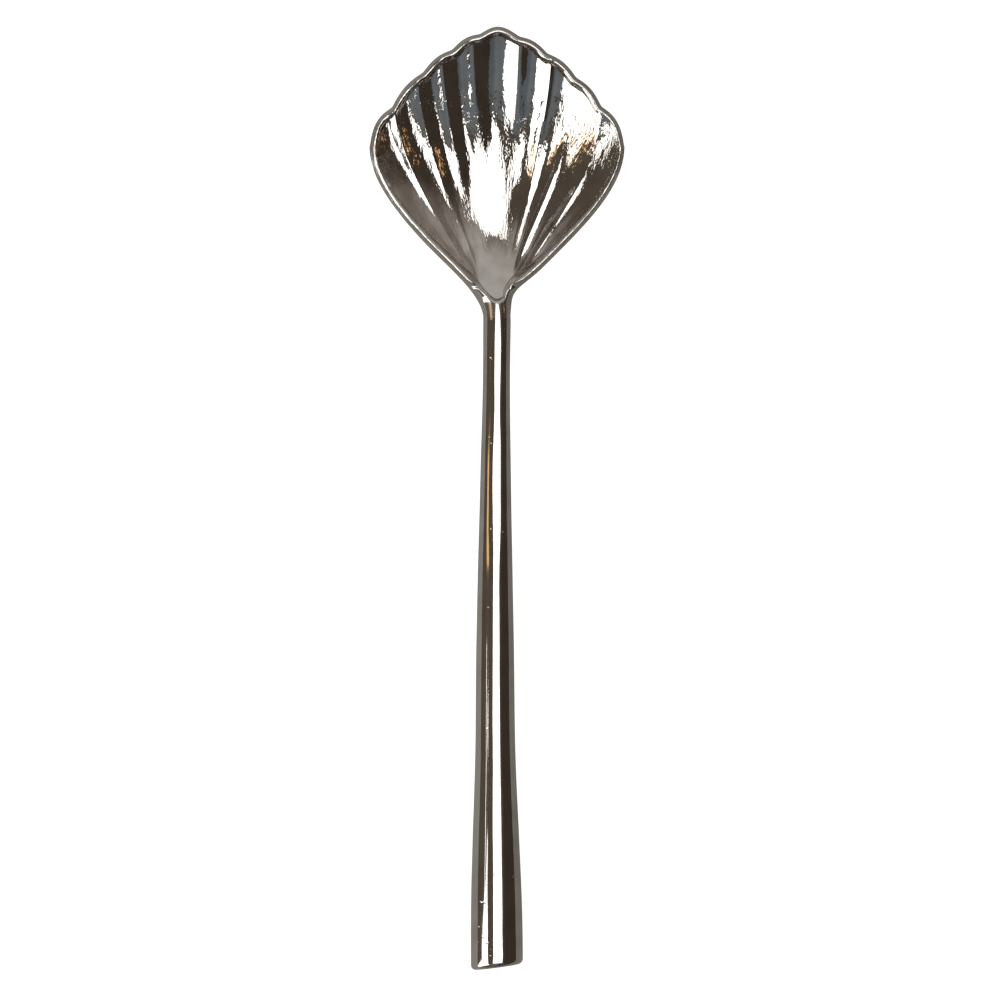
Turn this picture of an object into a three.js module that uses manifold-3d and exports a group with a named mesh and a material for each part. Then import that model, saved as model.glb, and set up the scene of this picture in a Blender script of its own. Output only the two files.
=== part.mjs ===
// A polished metal spoon: a cast scallop-shell bowl brazed to a tapered rod handle.
// Millimetres, +Z up. The origin is the middle of the small flat under the bowl, +Y runs to the
// bowl's tip and the handle runs to -Y. The spoon lies as it rests on a table at Z = 0.
import * as THREE from "three";
import { mergeVertices } from "three/addons/utils/BufferGeometryUtils.js";
import Module from "manifold-3d";

const wasm = await Module();
wasm.setup();

// Bowl, seen from above
const TIP_Y = 26; // tip of the middle lobe
const CORNER_X = 20.3; // half of the widest width
const CORNER_Y = 6.9; // where the bowl is widest
const NECK_Y = -20.4; // joint face at the end of the neck
const NECK_RADIUS = 2.2; // round neck and the top of the handle
const FAN_APEX_Y = -20.7; // point that the flutes fan out from
const PEAK_ROUND_DEG = 2.2; // angle over which the rim's peak is rounded
const SIDE_STRAIGHT = 11; // how far each side runs straight back from the widest point
const NECK_STRAIGHT = 6.6; // how far each side runs straight on from the neck
const PINCH = 1.05; // how far the right shoulder is drawn in beside the neck
const PINCH_Y = -16.2; // where it is drawn in most
const PINCH_REACH = 2.2; // how far along the bowl that reaches
const SWELL_LEFT = 0.3; // how far the left side stands out
const SWELL_LEFT_Y = -9.5; // where it stands out most
const SWELL_LEFT_REACH = 5; // how far along the bowl that reaches

// Bowl, in height
const RIM_Z = 7; // top of the rim above the table, at the origin
const RIM_TILT = 0.02; // rise of the rim per millimetre towards the tip
const SIDE_EASE = 1.5; // how much straighter the hollow's sides are than a parabola's
const WALL = 1.0; // thickness of the cast shell
const LIP_SWELL = 0.15; // how much the rounded lip is thicker than half of the wall
const LIP_TAPER = 2.5; // how soon the neck thins into the lip
const LIP_SETBACK = 1.3; // lip radii by which the inner wall is set in from the outline
const EDGE_ROUND = 0.45; // softness of the edge between the lip and the hollow
const UNDER_FILLET = 0.6; // softness of the corner between the lip and the outer wall
const FOOT_GRIND = 0.1; // depth ground off the underside to make the flat

// Flutes: places of the ridges between them, from the left corner at -1 to the right at 1
const RIDGES = [-0.72, -0.46, -0.26, -0.095, 0.125, 0.295, 0.5, 0.715];
const FLUTE_DEPTH = 0.75; // depth of a flute below its ridges, at the rim
const FLUTE_START = 0.3; // share of the way from the neck to the rim where flutes begin
const FLUTE_FULL = 0.85; // and where they have their whole depth
const LOBE_RISE = 0.45; // how far each flute's lobe stands out of the rim's outline
const CORNER_RISE = 0.85; // and how far the outermost lobe on each side does
const RIM_WAVE = 0.35; // how far the rim dips at the end of each flute
const RIM_WAVE_START = 0.75; // share of the way to the rim where that dip begins

// Joint: a tenon on the bowl in a blind bore in the handle, with braze between the faces
const TENON_RADIUS = 1.2;
const TENON_LENGTH = 6;
const TENON_CHAMFER = 0.3;
const FIT_CLEARANCE = 0.15; // all round the tenon
const BORE_END_CLEARANCE = 0.3; // past the tenon's end
const BRAZE_GAP = 0.3; // thickness of the braze between the two faces

// Handle
const END_Y = -123.8; // middle of the cut end
const END_RADIUS = 4.15; // half of the width at the end
const END_FLATNESS = 0.92; // thickness over width at the end
const END_SLANT_DEG = 7.5; // slant of the cut end
const END_ROUND = 0.7; // rounding of the edge round the cut end
const END_GRIND = 0.12; // depth ground off the underside, where the end rests
const ARCH_RISE = 1.2; // how far the upper handle aims above the neck
const ARCH_REACH = 30; // how far the neck's direction carries on into the handle
const LEVEL_REACH = 32; // how far the end's direction carries back into the handle
const END_CLIMB = 1.1; // how far the handle climbs over that reach
const SIDE_DRIFT = 0.3; // how far the forged rod wanders to the left
// How the half width grows: shares of the way down the handle, and half widths there
const SWELL = [
  [0.08, 2.16],
  [0.25, 2.46],
  [0.5, 3.0],
  [0.69, 3.27],
  [0.8, 3.72],
  [0.92, 4.1],
];

// Fineness of the faceted solids
const FACETS_PER_FLUTE = 5;
const SIDE_FACETS = 5; // more in the outermost flute on each side, close to the lip
const BOWL_RINGS = 28;
const ROD_SIDES = 24;
const ROD_RINGS = 26;
const OUTLINE_STEPS = 240;

const STEEL = { color: 0xb9b4ad, roughness: 0.1, metalness: 1 };
const BRAZE = { color: 0xcfc8ba, roughness: 0.2, metalness: 1 };

const { degToRad, lerp, smoothstep } = THREE.MathUtils;
const LIP_RADIUS = WALL / 2 + LIP_SWELL;
const NECK_Z = RIM_Z + RIM_TILT * NECK_Y - NECK_RADIUS;
const ROD_TOP_Y = NECK_Y - BRAZE_GAP;

// The smaller of two heights, with the corner between them rounded.
function smoothMin(a, b, softness) {
  if (softness <= 0) return Math.min(a, b);
  const near = Math.max(softness - Math.abs(a - b), 0) / softness;
  return Math.min(a, b) - (near * near * softness) / 4;
}

// Height of the round arch across each flute: 0 on a ridge and 1 in the middle of a flute.
const FLUTE_EDGES = [-1, ...RIDGES, 1];
function fluteArch(u) {
  const right = FLUTE_EDGES.findIndex((edge, i) => i > 0 && u <= edge);
  const [from, to] = [FLUTE_EDGES[right - 1], FLUTE_EDGES[right]];
  return Math.sin((Math.PI * (u - from)) / (to - from));
}
const MEAN_ARCH = 2 / Math.PI;

// The scalloped front edge of the bowl, from the left corner at u = -1 to the right one at u = 1.
const TIP_REACH = TIP_Y - FAN_APEX_Y - LOBE_RISE;
const CORNER_REACH = Math.hypot(CORNER_X, CORNER_Y - FAN_APEX_Y);
const CORNER_ANGLE = Math.atan2(CORNER_X, CORNER_Y - FAN_APEX_Y);
const PEAK_ROUND = degToRad(PEAK_ROUND_DEG);
const roundedAngle = (angle) => Math.hypot(angle, PEAK_ROUND) - PEAK_ROUND;
function frontEdge(u) {
  const angle = u * CORNER_ANGLE;
  const fallen = roundedAngle(angle) / roundedAngle(CORNER_ANGLE);
  const rise = u < RIDGES[0] || u > RIDGES.at(-1) ? CORNER_RISE : LOBE_RISE;
  const reach = lerp(TIP_REACH, CORNER_REACH, fallen) + rise * fluteArch(u);
  return new THREE.Vector2(reach * Math.sin(angle), FAN_APEX_Y + reach * Math.cos(angle));
}

// The bowl's right side, from the neck at v = 0 to the corner at v = 1.
const side = new THREE.CubicBezierCurve(
  new THREE.Vector2(NECK_RADIUS, NECK_Y),
  new THREE.Vector2(NECK_RADIUS, NECK_Y + NECK_STRAIGHT),
  new THREE.Vector2(CORNER_X, CORNER_Y - SIDE_STRAIGHT),
  new THREE.Vector2(CORNER_X, CORNER_Y),
);

// How far a side stands out of its curve, by hand-made unevenness: 1 in the middle and less around it.
const hump = (distance, reach) => Math.exp(-((distance / reach) ** 2));
const unevenness = (u, y) =>
  u > 0 ? -PINCH * hump(y - PINCH_Y, PINCH_REACH) : SWELL_LEFT * hump(y - SWELL_LEFT_Y, SWELL_LEFT_REACH);

// A point of the bowl from above: u runs across the flutes and v along them, from the neck to the rim.
function plan(u, v) {
  const onSide = side.getPoint(v);
  const front = frontEdge(u);
  const bulgeX = onSide.x - lerp(NECK_RADIUS, CORNER_X, v);
  const bulgeY = onSide.y - lerp(NECK_Y, CORNER_Y, v);
  const y = lerp(NECK_Y, front.y, v) + bulgeY;
  const x = lerp(NECK_RADIUS * u, front.x, v) + u * (bulgeX + unevenness(u, y));
  return new THREE.Vector2(x, y);
}

// The whole outline as short lines, and how far a point lies inside it.
const shares = Array.from({ length: OUTLINE_STEPS + 1 }, (_, i) => i / OUTLINE_STEPS);
const outline = [
  ...shares.map((v) => plan(-1, v)),
  ...shares.map((s) => frontEdge(lerp(-1, 1, s))),
  ...shares.toReversed().map((v) => plan(1, v)),
];
function insetFromOutline(point) {
  let least = Infinity;
  for (let i = 1; i < outline.length; i++) {
    const along = outline[i].clone().sub(outline[i - 1]);
    const reach = point.clone().sub(outline[i - 1]);
    const share = THREE.MathUtils.clamp(reach.dot(along) / (along.lengthSq() || 1), 0, 1);
    least = Math.min(least, reach.addScaledVector(along, -share).length());
  }
  return least;
}

// The share of the way along the flutes at which the hollow is deepest, right over the origin.
let [low, high] = [0, 1];
for (let i = 0; i < 40; i++) {
  const middle = (low + high) / 2;
  if (plan(0, middle).y < 0) low = middle;
  else high = middle;
}
const DEEPEST = Math.log(0.5) / Math.log(low);

const lipRadius = (y) => {
  const toNeck = THREE.MathUtils.clamp((TIP_Y - y) / (TIP_Y - NECK_Y), 0, 1);
  return lerp(LIP_RADIUS, NECK_RADIUS, toNeck ** LIP_TAPER);
};
const FLOOR_Z = WALL - FOOT_GRIND;
const DEPTH = RIM_Z + LIP_SETBACK * lipRadius(0) - FLOOR_Z;
const RIM_SLOPE = (2 * DEPTH) / CORNER_X;

// Heights of the bowl at (u, v): its upper surface, with the lip and the hollow, and its underside.
function bowlHeights(u, v) {
  const point = plan(u, v);
  const radius = lipRadius(point.y);
  const onOutline = Math.abs(u) === 1 || v === 1;
  const inset = onOutline ? 0 : insetFromOutline(point);
  const dip = RIM_WAVE * fluteArch(u) * smoothstep(v, RIM_WAVE_START, 1);
  const rim = RIM_Z + RIM_TILT * point.y - dip;
  const bulge = (reach) => Math.sqrt(Math.max(0, radius ** 2 - (radius - reach) ** 2));
  const lipTop = rim - radius + bulge(Math.min(inset, radius));
  const lipUnder = rim - radius - bulge(Math.min(inset, 2 * radius));

  const along = v ** DEEPEST;
  const across = (Math.hypot(1, SIDE_EASE * u) - 1) / (Math.hypot(1, SIDE_EASE) - 1);
  const depth = (1 - across) * 4 * along * (1 - along);
  const scoop = FLUTE_DEPTH * (fluteArch(u) - MEAN_ARCH);
  const flute = scoop * smoothstep(v, FLUTE_START, FLUTE_FULL);
  const hollow = rim + LIP_SETBACK * radius - DEPTH * depth - flute;
  const wallHeight = WALL * Math.sqrt(1 + RIM_SLOPE ** 2 * (1 - depth));

  const soft = Math.min(1, inset / radius);
  const upper = smoothMin(lipTop, hollow, EDGE_ROUND * soft);
  const under = smoothMin(lipUnder, hollow - wallHeight, UNDER_FILLET * soft);
  return { point, upper, under: Math.max(under, 0) };
}

// A closed solid from rings of points, each ring with as many points, capped at both ends.
// A cap joins the points of a ring in pairs across it, so a ring may be a flat strip too.
function solidFromRings(rings) {
  const count = rings[0].length;
  const corners = [];
  const quad = (a, b, c, d) => corners.push(a, b, c, a, c, d);
  for (let r = 1; r < rings.length; r++)
    for (let i = 0; i < count; i++) {
      const next = (i + 1) % count;
      quad(rings[r - 1][i], rings[r - 1][next], rings[r][next], rings[r][i]);
    }
  const cap = (ring, place) => {
    for (let i = 0; i < count / 2 - 1; i++)
      place(ring[i], ring[count - 1 - i], ring[count - 2 - i], ring[i + 1]);
  };
  cap(rings[0], quad);
  cap(rings.at(-1), (a, b, c, d) => quad(d, c, b, a));
  const used = corners.flatMap((p) => p.toArray());
  const loose = new THREE.BufferGeometry();
  loose.setAttribute("position", new THREE.Float32BufferAttribute(used, 3));
  return solidOf(loose);
}

// A three.js geometry as a solid that can be cut and joined, and back again.
function solidOf(geometry) {
  const bare = geometry.clone();
  bare.deleteAttribute("normal");
  bare.deleteAttribute("uv");
  const merged = mergeVertices(bare, 1e-4);
  const kept = [];
  const index = merged.index.array;
  for (let i = 0; i < index.length; i += 3) {
    const [a, b, c] = [index[i], index[i + 1], index[i + 2]];
    if (a !== b && b !== c && a !== c) kept.push(a, b, c);
  }
  return new wasm.Manifold(
    new wasm.Mesh({
      numProp: 3,
      vertProperties: merged.attributes.position.array,
      triVerts: new Uint32Array(kept),
    }),
  );
}
function meshOf(solid, name, finish) {
  const { vertProperties, triVerts } = solid.getMesh();
  const geometry = new THREE.BufferGeometry();
  geometry.setAttribute("position", new THREE.BufferAttribute(vertProperties, 3));
  geometry.setIndex(new THREE.BufferAttribute(triVerts, 1));
  geometry.computeVertexNormals();
  const mesh = new THREE.Mesh(geometry, new THREE.MeshStandardMaterial(finish));
  mesh.name = name;
  return mesh;
}

// A round plug on the neck's axis from the joint face down into the handle, with a chamfered end.
function neckPlug(radius, fromY, toY, chamfer) {
  const length = fromY - toY;
  const profile = [
    new THREE.Vector2(0, 0),
    new THREE.Vector2(radius - chamfer, 0),
    new THREE.Vector2(radius, chamfer),
    new THREE.Vector2(radius, length),
    new THREE.Vector2(0, length),
  ];
  return solidOf(new THREE.LatheGeometry(profile, ROD_SIDES).translate(0, toY, NECK_Z));
}

// Places across the bowl: even steps in each flute, and finer ones close to the lip on each side.
function acrossBowl() {
  const places = [];
  for (let k = 1; k < FLUTE_EDGES.length; k++)
    for (let i = 0; i < FACETS_PER_FLUTE; i++)
      places.push(lerp(FLUTE_EDGES[k - 1], FLUTE_EDGES[k], i / FACETS_PER_FLUTE));
  places.push(1);
  const gap = (1 - RIDGES.at(-1)) / FACETS_PER_FLUTE;
  for (let i = 1; i < SIDE_FACETS; i++) {
    const nearEdge = 1 - gap * (i / SIDE_FACETS) ** 2;
    places.push(nearEdge, -nearEdge);
  }
  return places.sort((a, b) => a - b);
}

function makeBowl() {
  const across = acrossBowl();
  const rings = [];
  for (let j = 0; j <= BOWL_RINGS; j++) {
    const v = j === BOWL_RINGS ? 1 : (1 - Math.cos((Math.PI * j) / BOWL_RINGS)) / 2;
    const heights = across.map((u) => bowlHeights(u, v));
    const over = heights.map((h) => new THREE.Vector3(h.point.x, h.point.y, h.upper));
    const under = heights.map((h) => new THREE.Vector3(h.point.x, h.point.y, h.under));
    rings.push([...over, ...under.toReversed()]);
  }
  const shell = solidFromRings(rings);
  const rootY = NECK_Y + WALL; // the tenon is one with the neck
  const tenon = neckPlug(TENON_RADIUS, rootY, NECK_Y - TENON_LENGTH, TENON_CHAMFER);
  return meshOf(shell.add(tenon), "bowl", STEEL);
}

// The handle's half width and its middle line, at a share of the way down from the joint.
const swell = new THREE.SplineCurve([
  new THREE.Vector2(0, NECK_RADIUS),
  ...SWELL.map(([share, halfWidth]) => new THREE.Vector2(share, halfWidth)),
  new THREE.Vector2(1, END_RADIUS),
]);
const swellPoints = swell.getPoints(OUTLINE_STEPS);
function halfWidth(share) {
  const next = Math.max(1, swellPoints.findIndex((p) => p.x >= share));
  const [a, b] = [swellPoints[next - 1], swellPoints[next]];
  return lerp(a.y, b.y, (share - a.x) / (b.x - a.x));
}
const END_Z = END_RADIUS * END_FLATNESS - END_GRIND;
const middleLine = new THREE.CubicBezierCurve(
  new THREE.Vector2(ROD_TOP_Y, NECK_Z),
  new THREE.Vector2(ROD_TOP_Y - ARCH_REACH, NECK_Z + ARCH_RISE),
  new THREE.Vector2(END_Y + LEVEL_REACH, END_Z + END_CLIMB),
  new THREE.Vector2(END_Y, END_Z),
);

// A ring of the handle. Towards the end the ring turns to the slant of the cut.
function rodRing(share, shrink = 0, setBack = 0) {
  const line = middleLine.getPoint(share);
  const down = (ROD_TOP_Y - line.x) / (ROD_TOP_Y - END_Y);
  const wide = halfWidth(down) - shrink;
  const thick = halfWidth(down) * lerp(1, END_FLATNESS, down) - shrink;
  const middleX = -SIDE_DRIFT * Math.sin(Math.PI * down);
  const slant = Math.tan(degToRad(END_SLANT_DEG)) * down ** 4;
  const ring = [];
  for (let i = 0; i < ROD_SIDES; i++) {
    const turn = (2 * Math.PI * (i + 0.5)) / ROD_SIDES;
    const offset = -wide * Math.cos(turn);
    const height = Math.max(0, line.y + thick * Math.sin(turn));
    ring.push(new THREE.Vector3(middleX + offset, line.x + slant * offset - setBack, height));
  }
  return ring;
}

function makeHandle() {
  const rings = [];
  for (let j = 0; j < ROD_RINGS; j++) rings.push(rodRing(j / ROD_RINGS));
  for (const turn of [0, 30, 60, 90].map(degToRad)) {
    const [shrink, setBack] = [1 - Math.cos(turn), Math.sin(turn) - 1];
    rings.push(rodRing(1, END_ROUND * shrink, END_ROUND * setBack));
  }
  const rod = solidFromRings(rings.toReversed());
  const boreEnd = NECK_Y - TENON_LENGTH - BORE_END_CLEARANCE;
  const bore = neckPlug(TENON_RADIUS + FIT_CLEARANCE, NECK_Y, boreEnd, TENON_CHAMFER);
  return meshOf(rod.subtract(bore), "handle", STEEL);
}

// The braze between the joint faces, a flat ring round the tenon.
function makeBrazeRing() {
  const [inner, outer] = [TENON_RADIUS + FIT_CLEARANCE, NECK_RADIUS];
  const profile = [
    [inner, 0],
    [outer, 0],
    [outer, BRAZE_GAP],
    [inner, BRAZE_GAP],
    [inner, 0],
  ].map(([radius, height]) => new THREE.Vector2(radius, height));
  const ring = new THREE.LatheGeometry(profile, ROD_SIDES).translate(0, ROD_TOP_Y, NECK_Z);
  return meshOf(solidOf(ring), "braze_ring", BRAZE);
}

const spoon = new THREE.Group();
spoon.add(makeBowl(), makeHandle(), makeBrazeRing());

export default spoon;
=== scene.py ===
"""A polished metal spoon with a scallop-shell bowl, dressed and lit as it was photographed.

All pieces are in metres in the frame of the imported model: the origin is under the bowl, +Y runs to
the bowl's tip and +Z is up. Sizes in the classes are in millimetres.
"""

from __future__ import annotations

import logging
import math
from dataclasses import dataclass
from enum import Enum
from typing import Any, Mapping, Sequence, Union

import bpy
import numpy as np
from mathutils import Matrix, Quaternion, Vector, noise

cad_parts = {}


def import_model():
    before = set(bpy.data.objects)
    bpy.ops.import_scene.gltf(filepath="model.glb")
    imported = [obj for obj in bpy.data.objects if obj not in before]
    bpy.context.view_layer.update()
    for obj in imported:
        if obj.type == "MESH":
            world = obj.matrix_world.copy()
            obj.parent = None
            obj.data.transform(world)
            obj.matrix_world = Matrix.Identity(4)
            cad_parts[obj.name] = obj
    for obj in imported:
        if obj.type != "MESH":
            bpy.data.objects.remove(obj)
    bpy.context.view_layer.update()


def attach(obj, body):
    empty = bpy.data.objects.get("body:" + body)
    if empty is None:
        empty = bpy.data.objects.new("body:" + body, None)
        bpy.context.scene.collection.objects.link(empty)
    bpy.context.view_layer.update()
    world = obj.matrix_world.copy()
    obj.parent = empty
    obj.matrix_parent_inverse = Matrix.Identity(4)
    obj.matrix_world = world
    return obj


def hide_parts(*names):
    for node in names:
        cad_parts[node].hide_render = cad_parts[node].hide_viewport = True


LOG = logging.getLogger("spoon")
MM = 0.001
BODY = "root"
WELD = 1e-7
SMOOTH_ANGLE = math.radians(50)
WATTS_PER_RADIANCE = 4.0

# The joint between the neck and the handle, which three pieces share, in millimetres
NECK_Y = -20.4
NECK_Z = 4.392
NECK_RADIUS = 2.2
BRAZE_GAP = 0.3
BORE_RADIUS = 1.35
TENON_LENGTH = 6.0

Array = np.ndarray
Colour = tuple[float, float, float, float]


class Pick(Enum):
    """What is picked while a mesh is open for editing."""

    FACES = "FACE"
    EDGES = "EDGE"


# Shader building

Link = Union["Val", bpy.types.NodeSocket, float, Sequence[float]]


class Val:
    """A number worked out by a node tree, for use in plain expressions."""

    def __init__(self, sheet: "NodeSheet", socket: bpy.types.NodeSocket) -> None:
        """Wraps one output socket of a node tree."""
        self.sheet = sheet
        self.socket = socket

    def _maths(self, operation: str, *values: Link) -> "Val":
        """Adds a Math node with this operation and these inputs, and wraps its result."""
        links = dict(enumerate(values))
        return self.sheet.val("ShaderNodeMath", {"operation": operation}, links)

    def __add__(self, other: Link) -> "Val":
        """Sum."""
        return self._maths("ADD", self, other)

    def __radd__(self, other: Link) -> "Val":
        """Sum, with the number first."""
        return self._maths("ADD", other, self)

    def __sub__(self, other: Link) -> "Val":
        """Difference."""
        return self._maths("SUBTRACT", self, other)

    def __rsub__(self, other: Link) -> "Val":
        """Difference, with the number first."""
        return self._maths("SUBTRACT", other, self)

    def __mul__(self, other: Link) -> "Val":
        """Product."""
        return self._maths("MULTIPLY", self, other)

    def __rmul__(self, other: Link) -> "Val":
        """Product, with the number first."""
        return self._maths("MULTIPLY", other, self)

    def ease(self, low: float, high: float) -> "Val":
        """Eases from 0 at the low value to 1 at the high one, which may be the lesser."""
        ends = {"Value": self, "From Min": low, "From Max": high}
        return self.sheet.val("ShaderNodeMapRange", {"interpolation_type": "SMOOTHSTEP"}, ends)


class NodeSheet:
    """A node tree and the ways of adding to it."""

    def __init__(self, tree: bpy.types.NodeTree) -> None:
        """Takes over the node tree of a material or a world and empties it."""
        self.tree = tree
        tree.nodes.clear()

    def node(
        self,
        kind: str,
        settings: Mapping[str, Any] | None = None,
        inputs: Mapping[Union[str, int], Link] | None = None,
    ) -> bpy.types.Node:
        """Adds a node.

        Args:
            kind: The node's type.
            settings: Properties of the node, set first.
            inputs: Values or links of its input sockets, by name or number.

        Returns:
            The new node.
        """
        made = self.tree.nodes.new(kind)
        for name, value in (settings or {}).items():
            setattr(made, name, value)
        for name, value in (inputs or {}).items():
            source = value.socket if isinstance(value, Val) else value
            if isinstance(source, bpy.types.NodeSocket):
                self.tree.links.new(source, made.inputs[name])
            else:
                made.inputs[name].default_value = source
        return made

    def val(
        self,
        kind: str,
        settings: Mapping[str, Any] | None = None,
        inputs: Mapping[Union[str, int], Link] | None = None,
        output: Union[str, int] = 0,
    ) -> Val:
        """Adds a node in the same way and wraps one of its outputs."""
        return Val(self, self.node(kind, settings, inputs).outputs[output])

    def tint(self, share: Link, first: Link, second: Link) -> bpy.types.NodeSocket:
        """Mixes two colours, from the first at a share of 0 to the second at 1."""
        mixed = self.node("ShaderNodeMix", {"data_type": "RGBA"}, {0: share, 6: first, 7: second})
        return mixed.outputs[2]

    def grain(self, vector: Link, scale: float, detail: float = 2.0, rough: float = 0.5) -> Val:
        """Adds noise of about 0 to 1, with so many waves per unit of the vector."""
        inputs = {"Vector": vector, "Scale": scale, "Detail": detail, "Roughness": rough}
        return self.val("ShaderNodeTexNoise", {"noise_dimensions": "3D"}, inputs)

    def polished_metal(self, colour: Link, rough: Link, height: Link) -> None:
        """Ends a material's tree in bare metal.

        Args:
            colour: The metal's colour.
            rough: Its roughness.
            height: Its unevenness, in millimetres.
        """
        relief = {"Strength": 1.0, "Distance": MM, "Height": height}
        bump = self.node("ShaderNodeBump", None, relief)
        surface = {"Base Color": colour, "Metallic": 1.0, "Roughness": rough}
        metal = self.node("ShaderNodeBsdfPrincipled", None, {**surface, "Normal": bump.outputs[0]})
        self.node("ShaderNodeOutputMaterial", None, {0: metal.outputs[0]})


def new_material(name: str) -> tuple[bpy.types.Material, NodeSheet]:
    """Starts a material.

    Args:
        name: Its name.

    Returns:
        The material and its empty node tree.
    """
    made = bpy.data.materials.new(name)
    made.use_nodes = True
    return made, NodeSheet(made.node_tree)


# Finishes: heights are in millimetres, places in metres and grains are counted per metre


@dataclass(frozen=True)
class CastPolish:
    """Hand-polished casting: bright metal with ripples and pits that follow the flutes."""

    name: str = "cast_polish"
    metal: Colour = (0.62, 0.60, 0.57, 1.0)
    smoke: Colour = (0.50, 0.47, 0.43, 1.0)
    gloss: float = 0.045
    satin: float = 0.16
    smudge_rough: float = 0.03
    ripple_waves: tuple[float, float, float] = (46.0, 15.0, 1.0)
    ripple_height: float = 0.120
    ripple_all: float = 0.45
    ripple_worked: float = 0.65
    pit_height: float = 0.022
    pit_all: float = 0.2
    pit_grains: float = 1500.0
    pit_patches: float = 190.0
    smudges: float = 320.0
    worked_back: tuple[float, float] = (0.001, 0.005)  # band of the bowl with most tool marks
    worked_front: tuple[float, float] = (0.018, 0.013)
    fluted: tuple[float, float] = (0.26, 0.38)  # where along the flutes they begin
    heel: tuple[float, float] = (0.30, 0.10)

    def material(self) -> bpy.types.Material:
        """Builds the finish.

        Returns:
            The material.
        """
        made, sheet = new_material(self.name)
        place = sheet.node("ShaderNodeTexCoord")
        spot, across_along = place.outputs["Object"], place.outputs["UV"]
        stretched = sheet.node(
            "ShaderNodeMapping", None, {"Vector": across_along, "Scale": self.ripple_waves}
        ).outputs[0]
        along = sheet.val("ShaderNodeSeparateXYZ", None, {0: across_along}, "Y")
        ahead = sheet.val("ShaderNodeSeparateXYZ", None, {0: spot}, "Y")
        worked = ahead.ease(*self.worked_back) * ahead.ease(*self.worked_front)

        ripple = sheet.grain(stretched, 1.0, 3.0, 0.6)
        rippled = self.ripple_all * along.ease(*self.fluted) + self.ripple_worked * worked
        pits = sheet.grain(spot, self.pit_grains, 2.0, 0.6).ease(0.60, 0.74)
        pitted = sheet.grain(spot, self.pit_patches, 2.0).ease(0.50, 0.68)
        height = ripple * rippled * self.ripple_height
        height = height - pits * pitted * (self.pit_all + worked) * self.pit_height

        smudge = sheet.grain(spot, self.smudges, 3.0)
        heel = along.ease(*self.heel)
        rough = self.gloss + heel * (self.satin - self.gloss)
        rough = rough + smudge.ease(0.5, 0.8) * self.smudge_rough
        colour = sheet.tint(smudge.ease(0.35, 0.75), self.metal, self.smoke)
        sheet.polished_metal(colour, rough, height)
        return made


@dataclass(frozen=True)
class RodPolish:
    """Forged rod, polished along its length, with fine drawn lines and a few specks."""

    name: str = "rod_polish"
    metal: Colour = (0.62, 0.60, 0.57, 1.0)
    smoke: Colour = (0.52, 0.49, 0.45, 1.0)
    gloss: float = 0.06
    smudge_rough: float = 0.05
    line_waves: tuple[float, float, float] = (1400.0, 90.0, 1400.0)
    line_height: float = 0.004
    speck_height: float = 0.02
    speck_grains: float = 1300.0
    speck_patches: float = 120.0
    smudges: float = 240.0

    def material(self) -> bpy.types.Material:
        """Builds the finish.

        Returns:
            The material.
        """
        made, sheet = new_material(self.name)
        spot = sheet.node("ShaderNodeTexCoord").outputs["Object"]
        drawn = sheet.node(
            "ShaderNodeMapping", None, {"Vector": spot, "Scale": self.line_waves}
        ).outputs[0]
        lines = sheet.grain(drawn, 1.0, 3.0, 0.6)
        patches = sheet.grain(spot, self.speck_patches, 2.0).ease(0.52, 0.66)
        specks = sheet.grain(spot, self.speck_grains, 1.0).ease(0.68, 0.78) * patches
        height = lines * self.line_height - specks * self.speck_height
        smudge = sheet.grain(spot, self.smudges, 3.0)
        rough = self.gloss + smudge.ease(0.5, 0.85) * self.smudge_rough
        colour = sheet.tint(smudge.ease(0.35, 0.8), self.metal, self.smoke)
        sheet.polished_metal(colour, rough, height)
        return made


@dataclass(frozen=True)
class BrazePolish:
    """Braze filed flush with the neck: a little warmer and softer than the metal beside it."""

    name: str = "braze_polish"
    metal: Colour = (0.63, 0.60, 0.55, 1.0)
    smoke: Colour = (0.50, 0.46, 0.40, 1.0)
    gloss: float = 0.09
    grain_rough: float = 0.06
    grain_height: float = 0.006
    grains: float = 1800.0

    def material(self) -> bpy.types.Material:
        """Builds the finish.

        Returns:
            The material.
        """
        made, sheet = new_material(self.name)
        spot = sheet.node("ShaderNodeTexCoord").outputs["Object"]
        grain = sheet.grain(spot, self.grains, 3.0)
        colour = sheet.tint(grain.ease(0.4, 0.7), self.metal, self.smoke)
        rough = self.gloss + grain * self.grain_rough
        sheet.polished_metal(colour, rough, grain * self.grain_height)
        return made


# Shape helpers


def ease(values: Array, low: float, high: float) -> Array:
    """Eases from 0 at one value to 1 at another.

    Args:
        values: The values to ease.
        low: Value at which the result is 0.
        high: Value at which the result is 1.

    Returns:
        The eased shares.
    """
    share = np.clip((values - low) / (high - low), 0.0, 1.0)
    return share * share * (3.0 - 2.0 * share)


def plateau(values: Array, span: Sequence[float]) -> Array:
    """Eases up from 0 to 1 and later down again.

    Args:
        values: The values to ease.
        span: Where the way up starts and ends, and then the way down.

    Returns:
        The eased shares.
    """
    return ease(values, span[0], span[1]) * (1 - ease(values, span[2], span[3]))


def bulge(reach: Array, size: Array) -> Array:
    """Height of a round section.

    Args:
        reach: Places, measured in from the section's edge.
        size: Its radius.

    Returns:
        The heights over its edge.
    """
    reach = np.minimum(reach, 2 * size)
    return np.sqrt(np.maximum(0.0, size**2 - (size - reach) ** 2))


def fall(reach: Array, size: float, steep: float = 4.0) -> Array:
    """How far a rounded edge falls.

    Args:
        reach: Places, measured on from the edge's crest.
        size: Radius of the rounding.
        steep: Slope past the rounding.

    Returns:
        The depths under the crest.
    """
    over = np.maximum(reach - size, 0.0)
    return size - np.sqrt(np.maximum(size**2 - reach**2, 0.0)) + steep * over


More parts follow.
